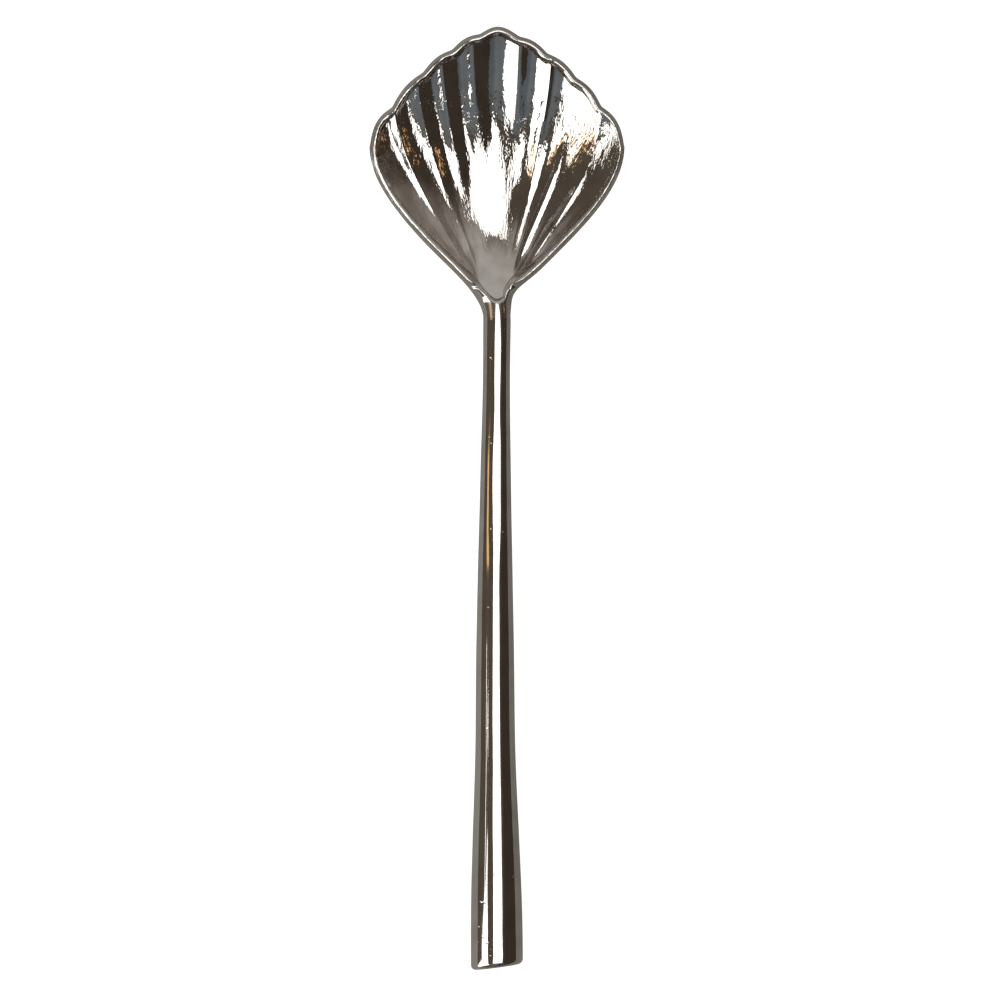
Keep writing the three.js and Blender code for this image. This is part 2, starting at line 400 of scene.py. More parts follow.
def soft_min(a: Array, b: Array, softness: Array) -> Array:
    """The smaller of two heights, with the corner between them rounded.

    Args:
        a: First heights.
        b: Second heights.
        softness: Size of the rounding; 0 keeps the corner.

    Returns:
        The smaller heights.
    """
    size = np.maximum(softness, 1e-9)
    near = np.maximum(size - np.abs(a - b), 0.0) / size
    return np.minimum(a, b) - near * near * size / 4.0


def bezier(points: Sequence[tuple[float, float]], share: Array) -> tuple[Array, Array]:
    """A cubic Bezier curve.

    Args:
        points: Its four control points.
        share: Places along it, 0 to 1.

    Returns:
        Both coordinates at those places.
    """
    rest = 1.0 - share
    weights = (rest**3, 3 * rest**2 * share, 3 * rest * share**2, share**3)
    return (
        sum(w * p[0] for w, p in zip(weights, points)),
        sum(w * p[1] for w, p in zip(weights, points)),
    )


def ripple(points: Array, wave: Sequence[float], seed: float) -> Array:
    """Smooth unevenness of a hand-worked surface.

    Args:
        points: Places in millimetres, one row each.
        wave: Length of the waves along X, Y and Z.
        seed: Shifts the pattern.

    Returns:
        A value from about -1 to 1 at each place.
    """
    scaled = points / np.asarray(wave) + seed
    return np.array([noise.noise(Vector(p)) for p in scaled])


def start_piece() -> None:
    """Leaves nothing selected, so that an operator acts on the new piece alone."""
    bpy.ops.object.select_all(action="DESELECT")


def read_points(mesh: bpy.types.Mesh) -> Array:
    """Reads a mesh's vertices.

    Args:
        mesh: The mesh.

    Returns:
        Their places, one row each.
    """
    flat = np.zeros(len(mesh.vertices) * 3)
    mesh.vertices.foreach_get("co", flat)
    return flat.reshape(-1, 3)


def write_points(mesh: bpy.types.Mesh, points: Array) -> None:
    """Moves a mesh's vertices.

    Args:
        mesh: The mesh.
        points: Their new places, one row each.
    """
    mesh.vertices.foreach_set("co", np.ascontiguousarray(points, dtype=float).ravel())
    mesh.update()


def pick_faces(mesh: bpy.types.Mesh, wanted: Sequence[int]) -> None:
    """Selects only some faces, in object mode.

    Args:
        mesh: The mesh.
        wanted: Numbers of the faces.
    """
    for items in (mesh.vertices, mesh.edges, mesh.polygons):
        items.foreach_set("select", [False] * len(items))
    for number in wanted:
        mesh.polygons[number].select = True


def open_mesh(pick: Pick = Pick.FACES) -> None:
    """Goes into edit mode.

    Args:
        pick: What is picked there.
    """
    bpy.ops.object.mode_set(mode="EDIT")
    bpy.ops.mesh.select_mode(type=pick.value)


def close_mesh() -> None:
    """Goes back to object mode."""
    bpy.ops.object.mode_set(mode="OBJECT")


def draw_out(step: float) -> None:
    """Extrudes what is picked along Y."""
    bpy.ops.mesh.extrude_region_move(TRANSFORM_OT_translate={"value": (0.0, step, 0.0)})


def face_outwards() -> None:
    """Turns all faces of the open mesh outwards."""
    bpy.ops.mesh.select_all(action="SELECT")
    bpy.ops.mesh.normals_make_consistent(inside=False)


def finish_piece(
    piece: bpy.types.Object, name: str, finish: bpy.types.Material, node: str
) -> None:
    """Names a piece, dresses it and puts it in the place of its CAD node.

    Args:
        piece: The modelled piece.
        name: Its name.
        finish: Its material.
        node: The CAD node that it stands for.
    """
    piece.name = name
    piece.data.name = name
    piece.data.materials.clear()
    piece.data.materials.append(finish)
    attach(piece, BODY)
    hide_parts(node)
    LOG.info("%s: %d faces", name, len(piece.data.polygons))


# Sub-assemblies


@dataclass
class ShellBowl:
    """The cast bowl: fluted hollow, beaded lip, neck and tenon.

    Places across the flutes, u, run from the left corner at -1 to the right one at 1. Places along
    them, v, run from the neck at 0 to the rim at 1. A pair of v is where something starts and where
    it is whole.
    """

    # Outline from above
    tip_y: float = 26.0
    corner_x: float = 20.3
    corner_y: float = 6.9
    neck_y: float = NECK_Y
    neck_radius: float = NECK_RADIUS
    apex_y: float = -20.7  # point that the flutes fan out from
    peak_round_deg: float = 2.2
    side_straight: float = 11.0
    neck_straight: float = 6.6
    pinch: float = 1.05  # how far the right shoulder is drawn in beside the neck
    pinch_y: float = -16.2
    pinch_reach: float = 2.2
    swell_left: float = 0.3  # how far the left side stands out
    swell_left_y: float = -9.5
    swell_left_reach: float = 5.0
    notches: tuple[float, ...] = (-0.72, -0.46, -0.26, -0.095, 0.125, 0.295, 0.5, 0.715)
    lobe_rise: float = 0.45  # how far the lobes between the notches stand out
    corner_rise: float = 0.85  # and the outermost lobe on each side
    lobes: tuple[float, float] = (0.55, 1.0)

    # Rim, lip and neck
    rim_z: float = 7.0
    rim_tilt: float = 0.02
    rim_wave: float = 0.35  # how far the rim dips at the end of each flute
    rim_dips: tuple[float, float] = (0.75, 1.0)
    wall: float = 1.0
    lip_swell: float = 0.15  # how much the lip's radius is more than half of the wall
    lip_drop: float = 1.25  # lip radii that the outer edge lies below the lip's top
    lip_bow: float = 1.15  # how hollow the slope down to that edge is
    bead: float = 0.35  # lip radii that the hollow's edge lies below the lip's top
    bead_fillet: float = 0.2
    neck_round_from: float = 14.2  # how far behind the origin the lip grows into the neck
    neck_round_to: float = 18.0
    neck_blend: tuple[float, float] = (0.35, 0.9)  # shares of that growth that round the section
    under_taper: float = 6.0  # how soon the neck thins into the lip below
    under_fillet: float = 0.6
    neck_fillet: float = 3.2
    fillet_from: float = 9.0  # how far behind the origin the first fillet becomes the second
    fillet_to: float = 16.0
    foot_grind: float = 0.1

    # Plain hollow
    side_ease: float = 0.3  # how much straighter its sides are than a parabola's
    heel_power: float = 3.4  # how flat its heel is across
    heel_start: float = 0.05
    heel_fade: tuple[float, float] = (0.12, 0.34)
    end_y: float = -18.15  # its end on the neck
    end_blunt: float = 1.1
    end_radius: float = 0.6
    end_gone: float = 6.0  # how fast that end gives way to the lip along the sides

    # Flutes, and thin ridges low on the walls
    ridges: tuple[float, ...] = (-0.70, -0.495, -0.325, -0.14, 0.13, 0.322, 0.73)
    ridge_round: float = 0.10
    flute_depth: float = 0.62
    flute_depths: tuple[float, ...] = (0.9, 0.75, 1.0, 1.0, 1.0, 1.0, 0.95, 0.4)  # shares of it
    flute_skews: tuple[float, ...] = (2.5, 1.0, 1.0, 1.0, 1.0, 1.0, 0.45, 1.0)
    floor_left: tuple[float, float] = (0.33, 0.55)  # u at which the floor becomes the wall
    floor_right: tuple[float, float] = (0.25, 0.5)
    floor_flutes: tuple[float, float] = (0.47, 0.86)
    floor_sharp: tuple[float, float] = (0.64, 0.86)
    wall_flutes: tuple[float, float] = (0.4, 0.84)
    wall_ridges: tuple[float, ...] = (-0.70, -0.495, -0.325, -0.14, 0.13, 0.322, 0.50, 0.73)
    ridges_left: float = 0.2  # shares of the flutes' depth
    ridges_right: float = 0.9
    ridges_grow: tuple[float, float] = (0.22, 0.38)
    fade_left: tuple[float, float] = (0.45, 0.75)
    fade_right: tuple[float, float] = (0.60, 0.82)
    low_power: float = 0.8  # how sharp the thin ridges are
    low_mean: float = 0.69  # mean height of an arch of that power
    mean_fall: float = 0.57  # how soon an arch's mean height falls with its power

    # Hand work, tenon and mesh
    hammer: float = 0.02
    hammer_wave: tuple[float, float, float] = (2.2, 4.0, 1.0)
    hammer_seed: float = 7.3
    hammered: tuple[float, float] = (0.12, 0.35)
    hammer_inset: float = 2.0
    tenon_radius: float = 1.2
    tenon_length: float = TENON_LENGTH
    columns: int = 220
    rows: int = 170
    crowd_sides: float = 0.75  # how much the mesh is crowded towards the lip
    crowd_ends: float = 0.78
    edge_snap: float = 1e-6
    outline_steps: int = 260
    front_steps: int = 720
    side_steps: int = 400
    middle_steps: int = 4001
    points_at_once: int = 2000

    @property
    def thin(self) -> float:
        """Radius of the lip where it is thinnest."""
        return self.wall / 2 + self.lip_swell

    def arch(self, u: Array, ridges: Sequence[float], skews: Sequence[float] = ()) -> Array:
        """Round arch from each ridge to the next.

        Args:
            u: Places across the bowl, -1 to 1.
            ridges: Places of the ridges.
            skews: Powers that move each arch's top aside; none leaves it halfway.

        Returns:
            0 on a ridge to 1 at an arch's top.
        """
        edges = np.array([-1.0, *ridges, 1.0])
        flute = np.clip(np.searchsorted(edges, u) - 1, 0, len(edges) - 2)
        share = np.clip((u - edges[flute]) / (edges[flute + 1] - edges[flute]), 0.0, 1.0)
        powers = np.array(skews or [1.0] * (len(edges) - 1))
        raw = np.sin(np.pi * share ** powers[flute])
        soft = self.ridge_round
        return (np.hypot(raw, soft) - soft) / (math.hypot(1.0, soft) - soft)

    def front_edge(self, u: Array, lobed: Array | float = 1.0) -> tuple[Array, Array]:
        """The scalloped front edge.

        Args:
            u: Places along it, from the left corner at -1 to the right one at 1.
            lobed: How much of the scallops stands out.

        Returns:
            X and Y.
        """
        soft = math.radians(self.peak_round_deg)
        corner_angle = math.atan2(self.corner_x, self.corner_y - self.apex_y)
        corner_reach = math.hypot(self.corner_x, self.corner_y - self.apex_y)
        tip_reach = self.tip_y - self.apex_y - self.lobe_rise
        angle = u * corner_angle
        fallen = (np.hypot(angle, soft) - soft) / (math.hypot(corner_angle, soft) - soft)
        outer = (u < self.notches[0]) | (u > self.notches[-1])
        rise = np.where(outer, self.corner_rise, self.lobe_rise)
        reach = tip_reach + (corner_reach - tip_reach) * fallen
        reach = reach + rise * lobed * self.arch(u, self.notches)
        return reach * np.sin(angle), self.apex_y + reach * np.cos(angle)

    def side(self, v: Array) -> tuple[Array, Array]:
        """The right side, from the neck at v = 0 to the corner at v = 1.

        Args:
            v: Places along it.

        Returns:
            X and Y.
        """
        points = (
            (self.neck_radius, self.neck_y),
            (self.neck_radius, self.neck_y + self.neck_straight),
            (self.corner_x, self.corner_y - self.side_straight),
            (self.corner_x, self.corner_y),
        )
        return bezier(points, v)

    def plan(self, u: Array, v: Array) -> tuple[Array, Array]:
        """Places of the bowl from above.

        Args:
            u: Places across the flutes.
            v: Places along them, from the neck to the rim.

        Returns:
            X and Y.
        """
        side_x, side_y = self.side(v)
        front_x, front_y = self.front_edge(u, ease(v, *self.lobes))
        y = self.neck_y * (1 - v) + front_y * v
        y = y + side_y - self.neck_y - (self.corner_y - self.neck_y) * v
        at_pinch = (y - self.pinch_y) / self.pinch_reach
        at_swell = (y - self.swell_left_y) / self.swell_left_reach
        drawn_in = -self.pinch * np.exp(-(at_pinch**2))
        stood_out = self.swell_left * np.exp(-(at_swell**2))
        x = self.neck_radius * u * (1 - v) + front_x * v
        x = x + u * (side_x - self.neck_radius - (self.corner_x - self.neck_radius) * v)
        return x + u * np.where(u > 0, drawn_in, stood_out), y

    def inset(self, x: Array, y: Array) -> Array:
        """How far places lie inside the outline.

        Args:
            x: Their X.
            y: Their Y.

        Returns:
            The distances.
        """
        share = np.linspace(0.0, 1.0, self.outline_steps)
        line = np.concatenate(
            [
                np.column_stack(self.plan(np.full_like(share, -1.0), share)),
                np.column_stack(self.front_edge(np.linspace(-1.0, 1.0, self.front_steps))),
                np.column_stack(self.plan(np.full_like(share, 1.0), share))[::-1],
            ]
        )
        start, along = line[:-1], np.diff(line, axis=0)
        length = np.maximum((along**2).sum(axis=1), 1e-12)
        nearest = np.empty(len(x))
        for part in np.array_split(np.arange(len(x)), max(1, len(x) // self.points_at_once)):
            reach = np.stack([x[part], y[part]], axis=1)[:, None, :] - start
            share = np.clip((reach * along).sum(axis=2) / length, 0.0, 1.0)
            gap = reach - share[..., None] * along
            nearest[part] = np.sqrt((gap**2).sum(axis=2).min(axis=1))
        return nearest

    def lip_radius(self, y: Array) -> Array:
        """Radius of the rounded lip, which grows into the neck.

        Args:
            y: Places along the bowl.

        Returns:
            The radii.
        """
        side_x, side_y = self.side(np.linspace(0.0, 1.0, self.side_steps))
        wide = np.interp(y, side_y, side_x)
        return self.thin + (wide - self.thin) * ease(-y, self.neck_round_from, self.neck_round_to)

    def deepest(self) -> float:
        """Finds what puts the deepest point of the hollow over the origin.

        Returns:
            The power to which places along the hollow are raised.
        """
        v = np.linspace(0.0, 1.0, self.middle_steps)
        y = self.plan(np.zeros_like(v), v)[1]
        middle = (float(np.interp(0.0, y, v)) - self.heel_start) / (1 - self.heel_start)
        return math.log(0.5) / math.log(middle)

    def lip(self, y: Array, inset: Array, rim: Array) -> tuple[Array, Array]:
        """The lip, which grows into the round neck.

        Args:
            y: Places along the bowl.
            inset: How far they lie inside the outline.
            rim: Heights of the lip's top.

        Returns:
            Heights of the lip's upper surface and of its underside.
        """
        radius = self.lip_radius(y)
        grown = (radius - self.thin) / (self.neck_radius - self.thin)
        rounded = ease(grown, *self.neck_blend)
        out = np.clip(1 - inset / radius, 0.0, 1.0)
        bevel = rim - self.lip_drop * radius * out**self.lip_bow
        tube = rim - radius + bulge(np.minimum(inset, radius), radius)
        edge_z = rim - radius * (self.lip_drop + (1 - self.lip_drop) * rounded)
        to_neck = np.clip((self.tip_y - y) / (self.tip_y - self.neck_y), 0.0, 1.0)
        below = self.thin + (self.neck_radius - self.thin) * to_neck**self.under_taper
        return bevel + (tube - bevel) * rounded, edge_z - bulge(inset, below)

    def plain_hollow(self, u: Array, v: Array) -> Array:
        """The hollow before its flutes are cut.

        Args:
            u: Places across the flutes.
            v: Places along them.

        Returns:
            0 at the lip to 1 at the deepest point.
        """
        along = np.clip((v - self.heel_start) / (1 - self.heel_start), 0.0, 1.0) ** self.deepest()
        across = (np.hypot(1.0, self.side_ease * u) - 1) / (math.hypot(1.0, self.side_ease) - 1)
        heel = 1 - ease(v, *self.heel_fade)
        across = across + (np.abs(u) ** self.heel_power - across) * heel
        return (1 - across) * 4 * along * (1 - along)

    def fluting(self, u: Array, v: Array) -> Array:
        """The flutes, and the thin ridges low on the walls.

        Args:
            u: Places across the flutes.
            v: Places along them.

        Returns:
            Depths under the plain hollow, less than 0 on the ridges.
        """
        on_wall = np.where(u < 0, ease(-u, *self.floor_left), ease(u, *self.floor_right))
        power = 1 + (1 - on_wall) * (1 - ease(v, *self.floor_sharp))
        arch = self.arch(u, self.ridges, self.flute_skews) ** power
        cut = np.array(self.flute_depths)[np.searchsorted(np.array(self.ridges), u)] * arch
        begun = ease(v, *self.floor_flutes)
        begun = begun + (ease(v, *self.wall_flutes) - begun) * on_wall
        flutes = begun * (cut - 1 / (1 + self.mean_fall * power))

        low = np.where(u < 0, self.ridges_left, self.ridges_right) * on_wall
        faded = np.where(u < 0, ease(v, *self.fade_left), ease(v, *self.fade_right))
        low = low * ease(v, *self.ridges_grow) * (1 - faded)
        thin_ridges = low * (self.arch(u, self.wall_ridges) ** self.low_power - self.low_mean)
        return self.flute_depth * (flutes + thin_ridges)

    def past_crest(self, x: Array, y: Array, inset: Array) -> Array:
        """How far the rounded edge of the hollow falls, along the lip and at its end on the neck.

        Args:
            x: Places across the bowl.
            y: Places along it.
            inset: How far they lie inside the outline.

        Returns:
            Depths under the lip's crest.
        """
        point = np.hypot(x, self.end_blunt) - self.end_blunt
        past_end = np.maximum(y - self.end_y - point, 0.0)
        past_end = past_end + self.end_gone * np.maximum(y + self.neck_round_from, 0.0)
        past_lip = np.maximum(inset - self.thin, 0.0)
        return np.minimum(fall(past_lip, self.thin), fall(past_end, self.end_radius))

    def surfaces(self, u: Array, v: Array) -> tuple[Array, Array]:
        """Both surfaces of the bowl.

        Args:
            u: Places across the flutes.
            v: Places along them.

        Returns:
            Points of the upper surface and of the underside, one row each.
        """
        x, y = self.plan(u, v)
        on_edge = (np.abs(u) >= 1.0) | (v >= 1.0)
        inset = np.where(on_edge, 0.0, self.inset(x, y))
        arch = self.arch(u, self.ridges, self.flute_skews)
        dip = self.rim_wave * arch * ease(v, *self.rim_dips)
        rim = self.rim_z + self.rim_tilt * y - dip
        lip_top, lip_under = self.lip(y, inset, rim)

        drop = self.bead * self.thin
        depth = self.rim_z - drop - (self.wall - self.foot_grind)
        share = self.plain_hollow(u, v)
        hollow = rim - drop - depth * share - self.fluting(u, v)
        slope = 2 * depth / self.corner_x
        outside = hollow - self.wall * np.sqrt(1 + slope**2 * (1 - share))
        flat = np.column_stack([x, y, np.zeros_like(x)])
        worked = self.hammer * ease(v, *self.hammered) * np.minimum(1.0, inset / self.hammer_inset)
        hollow = hollow + worked * ripple(flat, self.hammer_wave, self.hammer_seed)

        radius = self.lip_radius(y)
        crest = np.where(inset < radius, lip_top, rim)
        fallen = self.past_crest(x, y, inset)
        fillet = np.minimum(self.bead_fillet, fallen)
        raised = -soft_min(fallen - crest, -np.minimum(hollow, crest), fillet)
        upper = np.where(fallen > 0, raised, crest)
        by_neck = ease(-y, self.fillet_from, self.fillet_to)
        joined = self.under_fillet + (self.neck_fillet - self.under_fillet) * by_neck
        under = soft_min(lip_under, outside, joined * np.minimum(1.0, inset / radius))
        return np.column_stack([x, y, upper]), np.column_stack([x, y, np.maximum(under, 0.0)])

    def build(self) -> bpy.types.Object:
        """Models the bowl from a sheet that is extruded into two skins and shaped.

        Returns:
            The piece.
        """
        start_piece()
        bpy.ops.mesh.primitive_grid_add(
            x_subdivisions=self.columns, y_subdivisions=self.rows, size=2.0
        )
        piece = bpy.context.object
        open_mesh()
        bpy.ops.mesh.select_all(action="SELECT")
        bpy.ops.mesh.extrude_region_move()
        close_mesh()
        mesh = piece.data
        sheet = read_points(mesh)
        top_skin = np.zeros(len(sheet), dtype=bool)
        mesh.vertices.foreach_get("select", top_skin)
        upper, under = self.surfaces(*self.spread(sheet))
        write_points(mesh, np.where(top_skin[:, None], upper, under) * MM)

        weld = piece.modifiers.new("lip", "WELD")
        weld.merge_threshold = WELD
        bpy.ops.object.modifier_apply(modifier=weld.name)
        self.add_tenon(piece)
        bpy.ops.object.shade_smooth_by_angle(angle=SMOOTH_ANGLE)
        return piece

    def spread(self, sheet: Array) -> tuple[Array, Array]:
        """Places of the flat sheet on the bowl, closer together near the lip.

        Args:
            sheet: Points of the sheet, from -1 to 1 both ways.

        Returns:
            Places across the flutes and along them.
        """
        s, t = np.clip(sheet[:, 0], -1, 1), np.clip(sheet[:, 1] / 2 + 0.5, 0, 1)
        s = np.where(np.abs(s) > 1 - self.edge_snap, np.sign(s), s)
        t = np.where(t > 1 - self.edge_snap, 1.0, t)
        u = s + self.crowd_sides * (np.sin(np.pi * s / 2) - s)
        v = t + self.crowd_ends * ((1 - np.cos(np.pi * t)) / 2 - t)
        return u, v

    def add_tenon(self, piece: bpy.types.Object) -> None:
        """Draws the tenon out of the joint face at the end of the neck.

        Args:
            piece: The bowl.
        """
        mesh = piece.data
        face_y = self.neck_y * MM
        on_face = [abs(vertex.co.y - face_y) < WELD for vertex in mesh.vertices]
        joint = [face.index for face in mesh.polygons if all(on_face[i] for i in face.vertices)]
        pick_faces(mesh, joint)
        open_mesh()
        bpy.ops.mesh.dissolve_faces()
        bpy.ops.mesh.inset(thickness=(self.neck_radius - self.tenon_radius) * MM)
        draw_out(-self.tenon_length * MM)
        face_outwards()
        close_mesh()

    def dress(self, piece: bpy.types.Object) -> None:
        """Gives the bowl its finish and its place."""
        finish_piece(piece, "shell_bowl", CastPolish().material(), "bowl")


@dataclass
class RodHandle:
    """The forged handle: a round rod that swells to a slanted, rounded end."""

    # Middle line and end
    top_y: float = NECK_Y - BRAZE_GAP
    end_y: float = -123.8
    neck_radius: float = NECK_RADIUS
    neck_z: float = NECK_Z
    end_radius: float = 4.15
    end_flatness: float = 0.92
    end_slant_deg: float = 7.5
    slant_power: int = 4  # how late along the rod the slant of its end begins
    end_round: float = 0.8
    end_grind: float = 0.12
    arch_rise: float = 1.2  # how far the upper handle aims above the neck
    arch_reach: float = 30.0
    level_reach: float = 32.0
    end_climb: float = 1.1
    side_drift: float = 0.3

    # Half widths, each at its share of the way from the joint to the end
    swell: tuple[tuple[float, float], ...] = (
        (0.08, 2.16), (0.25, 2.46), (0.5, 3.0), (0.69, 3.27), (0.8, 3.72), (0.92, 4.1),
    )

    # Hand work: two flats along the top, with where they lie behind the origin, and unevenness
    forge_flat: float = 0.10
    forge_span: tuple[float, ...] = (33.0, 42.0, 52.0, 60.0)
    neck_flat: float = 0.06
    neck_span: tuple[float, ...] = (20.5, 24.0, 29.0, 37.0)
    flat_width: float = 0.62  # in half widths of the rod
    wander: float = 0.02
    wander_wave: tuple[float, float, float] = (2.6, 9.0, 2.6)
    wander_seed: float = 3.1
    wander_span: tuple[float, ...] = (0.03, 0.12, 0.97, 1.0)

    # Bore and mesh
    bore_radius: float = BORE_RADIUS
    bore_depth: float = TENON_LENGTH
    end_segments: int = 8
    sides: int = 128
    rings: int = 110
    last_ring: float = 1.7
    line_steps: int = 600

    def half_width(self, share: Array) -> Array:
        """Half width of the rod.

        Args:
            share: Places from the joint at 0 to the end at 1.

        Returns:
            The half widths.
        """
        points = np.array([(0.0, self.neck_radius), *self.swell, (1.0, self.end_radius)])
        x, y = points[:, 0], points[:, 1]
        slope = np.gradient(y, x)
        slope[0] = slope[-1] = 0.0
        i = np.clip(np.searchsorted(x, share) - 1, 0, len(x) - 2)
        step = x[i + 1] - x[i]
        t = (share - x[i]) / step
        return (
            (2 * t**3 - 3 * t**2 + 1) * y[i]
            + (t**3 - 2 * t**2 + t) * step * slope[i]
            + (3 * t**2 - 2 * t**3) * y[i + 1]
            + (t**3 - t**2) * step * slope[i + 1]
        )

    def middle_z(self, y: Array) -> Array:
        """Height of the rod's middle line.

        Args:
            y: Places along the rod.

        Returns:
            The heights.
        """
        end_z = self.end_radius * self.end_flatness - self.end_grind
        points = (
            (self.top_y, self.neck_z),
            (self.top_y - self.arch_reach, self.neck_z + self.arch_rise),
            (self.end_y + self.level_reach, end_z + self.end_climb),
            (self.end_y, end_z),
        )
        line_y, line_z = bezier(points, np.linspace(0.0, 1.0, self.line_steps))
        return np.interp(-y, -line_y, line_z)

    def shape(self, y: Array, turn: Array) -> Array:
        """Points of the rod's surface.

        Args:
            y: Places along the rod.
            turn: Angles round it, 0 at +X and a quarter turn at the top.

        Returns:
            The points, one row each.
        """
        share = np.clip((self.top_y - y) / (self.top_y - self.end_y), 0.0, 1.0)
        wide = self.half_width(share)
        thick = wide * (1 + (self.end_flatness - 1) * share)
        side, top = np.cos(turn), np.sin(turn)
        flat = plateau(-y, self.forge_span) * self.forge_flat
        flat = flat + plateau(-y, self.neck_span) * self.neck_flat
        near_top = np.maximum(0.0, 1 - (side / self.flat_width) ** 2)
        crown = np.where(top > 0, near_top**2, 0.0)
        middle_x = -self.side_drift * np.sin(np.pi * share)
        z = self.middle_z(y) + thick * top - flat * crown
        slant = math.tan(math.radians(self.end_slant_deg)) * share**self.slant_power
        points = np.column_stack([middle_x + wide * side, y + slant * wide * side, z])
        forged = self.wander * plateau(share, self.wander_span)
        out = forged * ripple(points, self.wander_wave, self.wander_seed)
        points = points + np.column_stack([side, np.zeros_like(side), top]) * out[:, None]
        points[:, 2] = np.maximum(points[:, 2], 0.0)
        return points

    def build(self) -> bpy.types.Object:
        """Draws the rod out of a disc, shapes it, rounds its end and sinks its bore.

        Returns:
            The piece.
        """
        start_piece()
        bpy.ops.mesh.primitive_circle_add(
            vertices=self.sides, radius=1.0, fill_type="NGON", rotation=(math.pi / 2, 0.0, 0.0)
        )
        piece = bpy.context.object
        bpy.ops.object.transform_apply(location=False, rotation=True, scale=False)
        length = self.top_y - self.end_y - self.last_ring
        open_mesh()
        bpy.ops.mesh.select_all(action="SELECT")
        for step in [length / self.rings] * self.rings + [self.last_ring]:
            draw_out(-step)
        face_outwards()
        close_mesh()
        rod = read_points(piece.data)
        turn = np.arctan2(rod[:, 2], rod[:, 0])
        write_points(piece.data, self.shape(rod[:, 1] + self.top_y, turn) * MM)
        self.round_end(piece)
        self.sink_bore(piece)
        bpy.ops.object.shade_smooth_by_angle(angle=SMOOTH_ANGLE)
        return piece

    def round_end(self, piece: bpy.types.Object) -> None:
        """Rounds the edge of the cut end.

        Args:
            piece: The handle.
        """
        mesh = piece.data
        end = max(mesh.polygons, key=lambda p: (len(p.vertices), -p.center.y)).index
        pick_faces(mesh, [end])
        open_mesh()
        bpy.ops.mesh.region_to_loop()
        bpy.ops.mesh.bevel(
            offset=self.end_round * MM, segments=self.end_segments, profile=0.5, affect="EDGES"
        )
        close_mesh()

    def sink_bore(self, piece: bpy.types.Object) -> None:
        """Sinks the blind bore that takes the bowl's tenon.

        Args:
            piece: The handle.
        """
        mesh = piece.data
        top = max(mesh.polygons, key=lambda p: (len(p.vertices), p.center.y)).index
        pick_faces(mesh, [top])
        open_mesh()
        bpy.ops.mesh.inset(thickness=(self.neck_radius - self.bore_radius) * MM)
        draw_out(-self.bore_depth * MM)
        face_outwards()
        close_mesh()

    def dress(self, piece: bpy.types.Object) -> None:
        """Gives the handle its finish and its place."""
        finish_piece(piece, "rod_handle", RodPolish().material(), "handle")


@dataclass
class BrazeSeam:
    """The braze between the neck and the handle, a ring round the tenon."""

    top_y: float = NECK_Y
    gap: float = BRAZE_GAP
    outer_radius: float = NECK_RADIUS
    inner_radius: float = BORE_RADIUS
    middle_z: float = NECK_Z
    sides: int = 128

    def build(self) -> bpy.types.Object:
        """Turns a circle's edge into a closed ring by extruding it round its section.

        Returns:
            The piece.
        """
        start_piece()
        middle = Vector((0.0, self.top_y, self.middle_z)) * MM
        bpy.ops.mesh.primitive_circle_add(
            vertices=self.sides,
            radius=self.outer_radius * MM,
            fill_type="NOTHING",
            location=middle,
            rotation=(math.pi / 2, 0.0, 0.0),
        )
        piece = bpy.context.object
        bpy.ops.object.transform_apply(location=True, rotation=True, scale=False)
        inward = self.inner_radius / self.outer_radius
        lower = middle - Vector((0.0, self.gap * MM, 0.0))
        open_mesh(Pick.EDGES)
        bpy.ops.mesh.select_all(action="SELECT")
        draw_out(-self.gap * MM)
        bpy.ops.mesh.extrude_region_move()
        bpy.ops.transform.resize(value=(inward, 1.0, inward), center_override=lower)
        draw_out(self.gap * MM)
        bpy.ops.mesh.select_all(action="DESELECT")
        bpy.ops.mesh.select_non_manifold()
        bpy.ops.mesh.bridge_edge_loops()
        face_outwards()
        close_mesh()
        bpy.ops.object.shade_smooth_by_angle(angle=SMOOTH_ANGLE)
        return piece

    def dress(self, piece: bpy.types.Object) -> None:
        """Gives the braze its finish and its place."""
        finish_piece(piece, "braze_seam", BrazePolish().material(), "braze_ring")


# Studio


@dataclass(frozen=True)
class Panel:
    """One light panel of the studio, in metres."""

    name: str
    place: tuple[float, float, float]
    target: tuple[float, float, float]
    size: tuple[float, float]
    radiance: float
    colour: tuple[float, float, float]
    roll_deg: float = 0.0

    def light(self) -> None:
        """Hangs the panel, out of the camera's sight."""
        lamp = bpy.data.lights.new(self.name, "AREA")
        lamp.shape = "RECTANGLE"
        lamp.size, lamp.size_y = self.size
        lamp.energy = WATTS_PER_RADIANCE * self.radiance * self.size[0] * self.size[1]
        lamp.color = self.colour
        hung = bpy.data.objects.new(self.name, lamp)
        bpy.context.scene.collection.objects.link(hung)
        hung.location = self.place
        aim = Vector(self.target) - Vector(self.place)
        roll = Quaternion((0.0, 0.0, 1.0), math.radians(self.roll_deg))
        hung.rotation_euler = (aim.to_track_quat("-Z", "Y") @ roll).to_euler()
        hung.visible_camera = False


